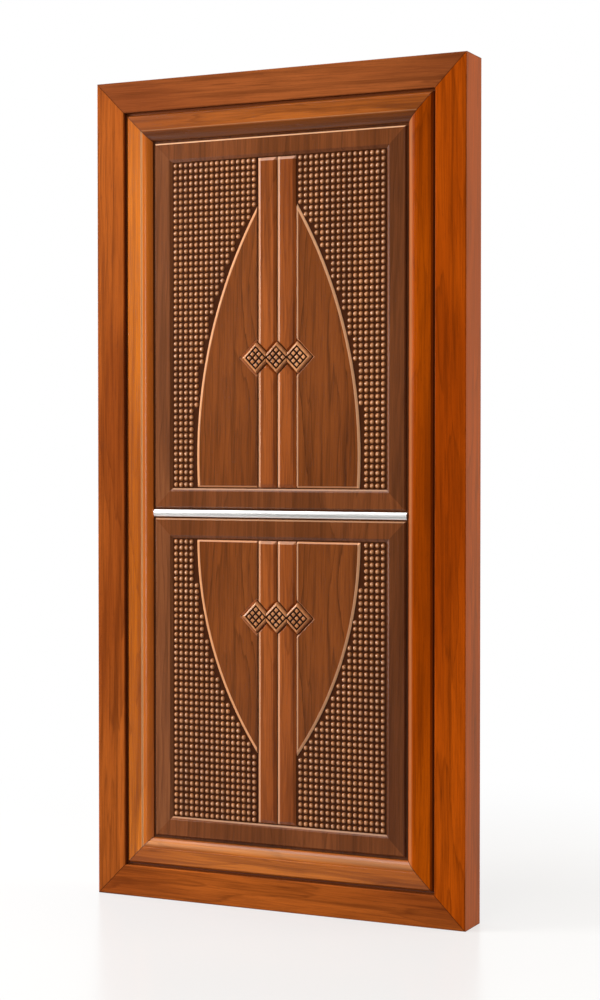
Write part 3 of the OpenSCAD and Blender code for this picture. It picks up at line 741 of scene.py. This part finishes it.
veneer = {"heart": VENEER_HEART, "lean": VENEER_LEAN, "figure": 0.5, "fibre": 0.45, "satin": 0.16}
border_finish = board_finish("leaf veneer", BORDER_TONES, **veneer)
shade_finish = board_finish("leaf veneer in shade", SHADE_BORDER_TONES, **veneer)
for half in ("upper", "lower"):
    for side, finish in (("left", border_finish), ("right", shade_finish)):
        eased(f"{half}_border_{side}", "leaf", LEAF_EASE, finish, closed_mitres=True)
    for side in ("top", "bottom"):
        node = f"{half}_border_{side}"
        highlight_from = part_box(node)[1].z - BORDER_CHAMFER
        highlight_edge = ("Z", highlight_from - MASK_BLEND, highlight_from, RAIL_HIGHLIGHT[node])
        finish = board_finish(f"{half} {side} veneer", RAIL_TONES, highlight_bands=(highlight_edge,), **veneer)
        eased(node, "leaf", LEAF_EASE, finish, closed_mitres=True)
eased("back_skin", "leaf", LEAF_EASE, border_finish)
# Painted shade: the front skin is darkened where it shows between the parts.
shaded_ground_finish = board_finish("ground in painted shade", GROUND_SHADE_TONES, VENEER_HEART, VENEER_LEAN, figure=0.3)
eased("front_skin", "leaf", LEAF_EASE, shaded_ground_finish)
print("leaf borders and skins eased")

# %% [markdown]
# ## Arch panels
#
# Four smooth panels with one curved side make the tall arches. A narrow bevel follows the curve, and a
# painted
# highlight makes it nearly white: the bevel is paler the further it lies back, and a line along the curve
# paler still, brightest on the right panels, whose bevels face away from the key lamp. The bevel could be
# picked face by face for a second material, but the highlight line is not quite as wide as the bevel. So the
# circle of the curve is found from three corners of the CAD piece, and everything outside a smaller circle
# gets the painted highlight. The right panels carry a painted highlight along their inner edge as well.

# %% Arch panels
ARCH_BEVEL = 0.005
LEFT_LINE = 0.003
INNER_LINE = 0.0045
INNER_HIGHLIGHT = 0.5
ARCH_BEVEL_DEPTHS = (0.0002, 0.0011)
# Painted highlights on the arch bevels: a tone by depth and lines along the curve.
ARCH_BEVEL_HIGHLIGHT = (196, 132, 88)
RIGHT_ARC_HIGHLIGHT = (255, 190, 140)
LEFT_ARC_HIGHLIGHT = (204, 142, 98)
ARCH_TONES = ((134, 70, 27), (111, 55, 19), (66, 31, 10))
HEART_Z = {"upper": 1.4, "lower": 0.7}


def arc_of(node, sign):
    """The middle, as x and z, and the radius of an arch's curved side, from three of its corners."""
    corners = [Vector((v.co.x, v.co.z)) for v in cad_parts[node].data.vertices]
    foot = max(corners, key=lambda c: sign * c.x)
    tip = max(corners, key=lambda c: abs(c.y - foot.y))
    chord = tip - foot
    way = sign * math.copysign(1, chord.y)
    bulge = max(corners, key=lambda c: way * (chord.y * (c - foot).x - chord.x * (c - foot).y)) - foot
    turn = 2 * (bulge.x * chord.y - bulge.y * chord.x)
    middle = foot + Vector((
        chord.y * bulge.length_squared - bulge.y * chord.length_squared,
        bulge.x * chord.length_squared - chord.x * bulge.length_squared,
    )) / turn
    return middle, (foot - middle).length


for half, heart_z in HEART_Z.items():
    for side, sign in (("left", -1), ("right", 1)):
        node = f"{half}_arch_panel_{side}"
        low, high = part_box(node)
        middle, radius = arc_of(node, sign)
        # Painted highlight along the curve; the right panels get a brighter one and a second along their
        # inner edge.
        painted_highlight = {"arc": (middle, radius - ARCH_BEVEL - LEFT_LINE), "arc_tone": LEFT_ARC_HIGHLIGHT}
        if side == "right":
            inner_edge = ("X", low.x + INNER_LINE, low.x + INNER_LINE - MASK_BLEND, INNER_HIGHLIGHT)
            painted_highlight = {"arc": (middle, radius - ARCH_BEVEL), "arc_tone": RIGHT_ARC_HIGHLIGHT, "highlight_bands": (inner_edge,)}
        finish = board_finish(f"{half} {side} arch", ARCH_TONES, heart=(sign * 0.13, 0.03, heart_z),
                              lean=(sign * 0.03, 0.02), ring_width=0.014, figure=0.65,
                              recess={"front_y": low.y, "depths": ARCH_BEVEL_DEPTHS},
                              recess_tone=ARCH_BEVEL_HIGHLIGHT, **painted_highlight)
        piece = eased(node, "leaf", LEAF_EASE, finish)
        print(piece.name, len(piece.data.polygons), "faces")

# %% [markdown]
# ## Centre strips
#
# Two bevelled strips run up the middle of each panel, above and below the diamonds. The bevels that face the
# light, at the left and at the top, carry a painted highlight, and two masks along the axes are enough for
# that.

# %% Centre strips
STRIP_BEVEL = 0.008
# Painted highlights on the strip bevels that face the light.
SIDE_HIGHLIGHT = 0.4
TOP_HIGHLIGHT = 0.3
STRIP_TONES = ((162, 85, 34), (140, 70, 27), (90, 42, 16))

for half, heart_z in HEART_Z.items():
    for side, sign in (("left", -1), ("right", 1)):
        low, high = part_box(f"{half}_strip_{side}_above")
        side_line = low.x + STRIP_BEVEL
        top_line = high.z - STRIP_BEVEL
        highlight_edges = (
            ("X", side_line, side_line - 2 * MASK_BLEND, SIDE_HIGHLIGHT),
            ("Z", top_line, top_line + MASK_BLEND, TOP_HIGHLIGHT),
        )
        finish = board_finish(f"{half} {side} strip", STRIP_TONES, heart=(sign * 0.05, 0.05, heart_z),
                              lean=(0.02, sign * 0.01), figure=0.4, fibre=0.6, highlight_bands=highlight_edges)
        for end in ("above", "below"):
            piece = eased(f"{half}_strip_{side}_{end}", "leaf", LEAF_EASE, finish)
            print(piece.name, len(piece.data.polygons), "faces")

# %% [markdown]
# ## Carved diamonds
#
# Three small diamonds cross the middle of each panel. Each has a bevelled rim round nine studs, which a
# carver leaves standing between crossed grooves. Nine separate studs on a plate would leave seams. A grid is
# the natural start: its lines are moved to the edges of the grooves, the groove cells are pressed in, the
# studs' edges are rounded, and the rim is pulled back down to the leaf. The tips are cut where the
# neighbours meet, as in the CAD.

# %% Diamond carving
STUD_W = 0.0095
STUD_GROOVE = 0.0035
GROOVE_SLOPE = STUD_GROOVE / 6
STUD_DEPTH = 0.003
STUD_ROUND = 0.0026
STUD_STEPS = 3
RIM_DROP = 0.003
TIP_SHARE = 35 / 39
CELLS = 9
GROOVE_CELLS = range(1, CELLS, 2)


def diamond_lines(half_side):
    """Where the grid lines run across a diamond: rim, groove, stud, groove and so on to the other rim."""
    inner = [STUD_W / 2 + n * (STUD_W + STUD_GROOVE) + part for n in (0, 1) for part in (0, STUD_GROOVE)]
    positive = inner + [half_side]
    return [-value for value in reversed(positive)] + positive


def diamond_grid(lines):
    """A flat grid with its lines at given places, and lists of its groove cells and its stud cells."""
    bm = bmesh.new()
    bmesh.ops.create_grid(bm, x_segments=CELLS, y_segments=CELLS, size=1)
    for vert in bm.verts:
        column = round((vert.co.x + 1) / 2 * CELLS)
        row = round((vert.co.y + 1) / 2 * CELLS)
        vert.co = (lines[column], lines[row], 0)
    grooves = []
    studs = []
    for face in bm.faces:
        spot = face.calc_center_median()
        column, row = [sum(value > line for line in lines[1:]) for value in (spot.x, spot.y)]
        on_rim = min(column, row) == 0 or max(column, row) == CELLS - 1
        if not on_rim and (column in GROOVE_CELLS or row in GROOVE_CELLS):
            grooves.append(face)
        elif not on_rim:
            studs.append(face)
    return bm, grooves, studs


def carve(bm, grooves, studs):
    """Presses the grooves in and rounds the studs that are left between them."""
    bmesh.ops.inset_region(bm, faces=grooves, thickness=GROOVE_SLOPE, depth=-STUD_DEPTH,
                           use_even_offset=True)
    stud_edges = list({e for f in studs for e in f.edges})
    bmesh.ops.bevel(bm, geom=stud_edges, offset=STUD_ROUND, offset_type="OFFSET", segments=STUD_STEPS,
                    profile=0.5, affect="EDGES", material=-1)


def pull_rim(bm, thickness):
    """Slopes the rim, takes the sides back to the leaf and closes the back."""
    skirt = [e for e in bm.edges if e.is_boundary]
    for drop, share in ((RIM_DROP, 1 / TIP_SHARE), (thickness - RIM_DROP, 1)):
        pulled = bmesh.ops.extrude_edge_only(bm, edges=skirt)["geom"]
        verts = [g for g in pulled if isinstance(g, bmesh.types.BMVert)]
        bmesh.ops.scale(bm, vec=(share, share, 1), verts=verts)
        bmesh.ops.translate(bm, vec=(0, 0, -drop), verts=verts)
        skirt = [g for g in pulled if isinstance(g, bmesh.types.BMEdge) and g.is_boundary]
    bmesh.ops.holes_fill(bm, edges=skirt)
    bmesh.ops.recalc_face_normals(bm, faces=bm.faces)


def cut_tips(bm, low_x, high_x):
    """Cuts a diamond off at both sides, where its neighbours begin."""
    for cut_x, way in ((low_x, -1), (high_x, 1)):
        everything = bm.verts[:] + bm.edges[:] + bm.faces[:]
        bmesh.ops.bisect_plane(bm, geom=everything, plane_co=(cut_x, 0, 0), plane_no=(way, 0, 0),
                               clear_outer=True)
        bmesh.ops.holes_fill(bm, edges=[e for e in bm.edges if e.is_boundary])


print("diamond carving ready,", len(GROOVE_CELLS), "grooves each way")

# %% [markdown]
# ## Setting the diamonds
#
# Each diamond is carved lying flat, then turned on its tip, stood up and set where its CAD piece is. Painted
# shade darkens the grooves between the studs and not the rim, so the mask for faces that lie back is held
# inside a diamond that ends where the studs do.

# %% Diamonds
# Painted shade in the grooves between the studs.
STUD_SHADE_DEPTHS = (0.0001, 0.0018)
STUD_SHADE_TONE = (48, 22, 9)
DIAMOND_TONES = ((218, 150, 98), (186, 118, 70), (116, 66, 34))


def carved_diamond(node):
    """A diamond carved from a grid, as high and as wide as its CAD piece."""
    low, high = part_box(node)
    reach = (high.z - low.z) / 2
    middle = (low + high) / 2
    if node.endswith("left"):
        middle.x = low.x + reach
    if node.endswith("right"):
        middle.x = high.x - reach
    lines = diamond_lines(reach * TIP_SHARE / math.sqrt(2))
    bm, grooves, studs = diamond_grid(lines)
    carve(bm, grooves, studs)
    pull_rim(bm, high.y - low.y)
    stand = Matrix.Translation((middle.x, low.y, middle.z)) @ Matrix.Rotation(math.radians(90), 4, "X")
    bm.transform(stand @ Matrix.Rotation(math.radians(45), 4, "Z"))
    cut_tips(bm, low.x, high.x)
    studs_end = lines[-2] * math.sqrt(2)
    finish = board_finish(node.replace("_", " "), DIAMOND_TONES, heart=(0.0, 0.05, 1.0), lean=(0.02, 0.02),
                          figure=0.3, recess_tone=STUD_SHADE_TONE,
                          recess={"front_y": low.y, "depths": STUD_SHADE_DEPTHS,
                                  "diamond": (middle, studs_end)})
    return dressed(bm, node, "leaf", finish, "_carved")


for half in ("upper", "lower"):
    for side in ("left", "middle", "right"):
        piece = carved_diamond(f"{half}_diamond_{side}")
        print(piece.name, len(piece.data.polygons), "faces")

# %% [markdown]
# ## The bead lattice
#
# Hundreds of small domes stand in rows on a thin board. On the real door they are carved or pressed in one
# go, and every dome takes the light on one side. The CAD beads are plain tapers, and a bevel on so many of
# them would be slow and flat on top. Here one smooth dome with a few dozen faces is spun once, to be set on
# every place where the CAD has a crown.

# %% Dome
BEAD_RADIUS = 0.0065
BEAD_SINK = 0.0004
BEAD_STEPS = 12
BEAD_RINGS = [math.radians(a) for a in (24, 48, 70)]


def bead_mesh(height):
    """One dome with its foot on y = 0 and its crown at y = -height, spun round the Y axis."""
    bm = bmesh.new()
    profile = [bm.verts.new((BEAD_RADIUS, BEAD_SINK, 0))]
    for angle in BEAD_RINGS:
        profile.append(bm.verts.new((BEAD_RADIUS * math.cos(angle), -height * math.sin(angle), 0)))
    edges = [bm.edges.new(pair) for pair in zip(profile, profile[1:])]
    bmesh.ops.spin(bm, geom=profile + edges, cent=(0, 0, 0), axis=(0, 1, 0), angle=math.tau,
                   steps=BEAD_STEPS, use_merge=True)
    bmesh.ops.remove_doubles(bm, verts=bm.verts, dist=MERGE)
    rim = [e for e in bm.edges if e.is_boundary and e.verts[0].co.y < -height / 2]
    top = bmesh.ops.edgeloop_fill(bm, edges=rim)["faces"]
    bmesh.ops.poke(bm, faces=top)
    crown = min(bm.verts, key=lambda v: abs(v.co.x) + abs(v.co.z))
    crown.co.y = -height
    bmesh.ops.recalc_face_normals(bm, faces=bm.faces)
    for face in bm.faces:
        face.smooth = True
    mesh = bpy.data.meshes.new("bead")
    bm.to_mesh(mesh)
    bm.free()
    return mesh


print("dome ready,", BEAD_STEPS, "steps round")

# %% [markdown]
# ## Bead boards
#
# A bead board fills the space between the border, the arch and the centre strips. Its outline is taken from
# the back of the CAD board and pulled forward. An array could set the domes, but the rows stop at a curve,
# so the middles of the CAD crowns are looked up, and each gets a dome. Painted shade darkens the feet of the
# domes, and a painted highlight makes their crowns paler.

# %% Bead boards
BACK_MARGIN = 0.001
# Painted shade at the feet of the domes, and a painted highlight on their crowns.
BEAD_FOOT_DEPTHS = (0.0028, 0.0041)
BEAD_FOOT_SHADE = (60, 28, 11)
CROWN_DEPTHS = (0.0011, 0.0002)
CROWN_HIGHLIGHT = 0.38
BEAD_TONES = ((170, 105, 54), (141, 82, 38), (92, 50, 20))


def crown_places(bm, crown_y):
    """The middles of the flat crowns in a CAD lattice, found by walking over each patch of crown faces."""
    waiting = {f for f in bm.faces if all(abs(v.co.y - crown_y) < MERGE for v in f.verts)}
    places = []
    while waiting:
        patch = [waiting.pop()]
        for face in patch:
            for edge in face.edges:
                for near in edge.link_faces:
                    if near in waiting:
                        waiting.remove(near)
                        patch.append(near)
        corners = {v for f in patch for v in f.verts}
        places.append(sum((v.co for v in corners), Vector()) / len(corners))
    return places


def lattice(node, finish):
    """A bead board rebuilt from its CAD piece: outline from its back, domes on its crowns."""
    low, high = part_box(node)
    bm = bmesh.new()
    bm.from_mesh(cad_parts[node].data)
    bmesh.ops.remove_doubles(bm, verts=bm.verts, dist=MERGE)
    crowns = crown_places(bm, low.y)
    front_y = max(v.co.y for v in bm.verts if v.co.y < high.y - BACK_MARGIN)
    others = [f for f in bm.faces if any(abs(v.co.y - high.y) > MERGE for v in f.verts)]
    bmesh.ops.delete(bm, geom=others, context="FACES")
    bmesh.ops.dissolve_limit(bm, angle_limit=FLAT, verts=bm.verts, edges=bm.edges)
    pulled = bmesh.ops.extrude_face_region(bm, geom=bm.faces[:])["geom"]
    front = [g for g in pulled if isinstance(g, bmesh.types.BMVert)]
    bmesh.ops.translate(bm, vec=(0, front_y - high.y, 0), verts=front)
    bmesh.ops.recalc_face_normals(bm, faces=bm.faces)
    dome = bead_mesh(front_y - low.y)
    for crown in crowns:
        shift = Vector((crown.x, front_y, crown.z))
        dome.transform(Matrix.Translation(shift))
        bm.from_mesh(dome)
        dome.transform(Matrix.Translation(-shift))
    piece = dressed(bm, node, "leaf", finish, "_carved")
    print(piece.name, len(crowns), "beads,", len(piece.data.polygons), "faces")
    return piece


crown_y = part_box("upper_bead_lattice_left")[0].y
crown_highlight = ("Y", crown_y + CROWN_DEPTHS[0], crown_y + CROWN_DEPTHS[1], CROWN_HIGHLIGHT)
bead_finish = board_finish("bead board", BEAD_TONES, heart=(0.2, 0.1, 1.0), lean=(0.02, 0.02), figure=0.3,
                           satin=0.1, varnish=0.5, highlight_bands=(crown_highlight,), recess_tone=BEAD_FOOT_SHADE,
                           recess={"front_y": crown_y, "depths": BEAD_FOOT_DEPTHS})
for half in ("upper", "lower"):
    for side in ("left", "right"):
        lattice(f"{half}_bead_lattice_{side}", bead_finish)

# %% [markdown]
# ## Metal
#
# The strip across the leaf is drawn aluminium, bright and slightly brushed along its length. The hinges and
# their screws are plain steel. Brushing could be had from an anisotropic shader. Noise drawn out along one
# axis shows the single scratches as well, and it works for both metals. The screws are small and hidden, so
# they keep their CAD shape and only take the finish.

# %% Metal finishes
SCRATCH_RANGE = (0.3, 0.7)
ROUGH_SPREAD = 0.25
SCRATCH_SHADE = 0.9
SCRATCH_STRENGTH = 0.15
SCRATCH_DEPTH = 0.00005
STRIP_EASE = 0.0005
PLATE_EASE = 0.0003
PIN_EASE = 0.0004


def metal_finish(name, colour, roughness, brushing):
    """A brushed metal with its scratches along one axis."""
    finish = blank_finish(name)
    tree = finish.node_tree
    place = add_node(tree, "ShaderNodeTexCoord").outputs["Object"]
    scratch = noise_along(tree, place, brushing, FINE_DETAIL)
    smoothest = roughness * (1 - ROUGH_SPREAD)
    roughest = roughness * (1 + ROUGH_SPREAD)
    rough = ranged(tree, scratch, *SCRATCH_RANGE, smoothest, roughest)
    darker = [c * SCRATCH_SHADE for c in colour]
    shade = blend_colours(tree, ranged(tree, scratch, *SCRATCH_RANGE), screen_colour(*colour),
                          screen_colour(*darker))
    bump = add_node(tree, "ShaderNodeBump", {
        "Height": scratch, "Strength": SCRATCH_STRENGTH, "Distance": SCRATCH_DEPTH,
    })
    surface = add_node(tree, "ShaderNodeBsdfPrincipled", {
        "Base Color": shade, "Roughness": rough, "Metallic": 1.0, "Normal": bump.outputs["Normal"],
    })
    add_node(tree, "ShaderNodeOutputMaterial", {"Surface": surface.outputs[0]})
    return finish


def refinish(node, finish):
    """Gives a CAD piece that keeps its shape a finish of its own."""
    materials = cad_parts[node].data.materials
    materials.clear()
    materials.append(finish)


aluminium = metal_finish("drawn aluminium", (248, 247, 246), roughness=0.36, brushing=(4.0, 1800.0, 1800.0))
steel = metal_finish("brushed steel", (196, 194, 190), roughness=0.34, brushing=(900.0, 900.0, 30.0))
eased("metal_strip", "leaf", STRIP_EASE, aluminium)
for level in ("bottom", "middle", "top"):
    eased(f"hinge_frame_plate_{level}", "frame", PLATE_EASE, steel)
    eased(f"hinge_pin_{level}", "frame", PIN_EASE, steel)
    eased(f"hinge_leaf_plate_{level}", "leaf", PLATE_EASE, steel)
for node in ("frame_hinge_screws", "leaf_hinge_screws"):
    refinish(node, steel)
print("metal strip, hinges and screws finished")

# %% [markdown]
# ## Hidden timber
#
# The stiles, rails and cores inside the leaf only show at its edges when it is open. Eased copies would be
# work that nobody sees, so they keep their CAD shape and get a plain pale timber.

# %% Inner timber
INNER_TONES = ((158, 90, 46), (132, 70, 33), (86, 42, 18))
INNER_HEART = (0.0, 0.1, 1.0)
INNER_LEAN = (0.02, 0.02)

upright_timber = board_finish("inner upright timber", INNER_TONES, INNER_HEART, INNER_LEAN)
across_timber = board_finish("inner cross timber", INNER_TONES, INNER_HEART, INNER_LEAN, ACROSS)
for node in ("leaf_hinge_stile", "leaf_lock_stile"):
    refinish(node, upright_timber)
for node in ("leaf_top_rail", "leaf_middle_rail", "leaf_bottom_rail", "upper_core", "lower_core"):
    refinish(node, across_timber)
print("inner timber finished")
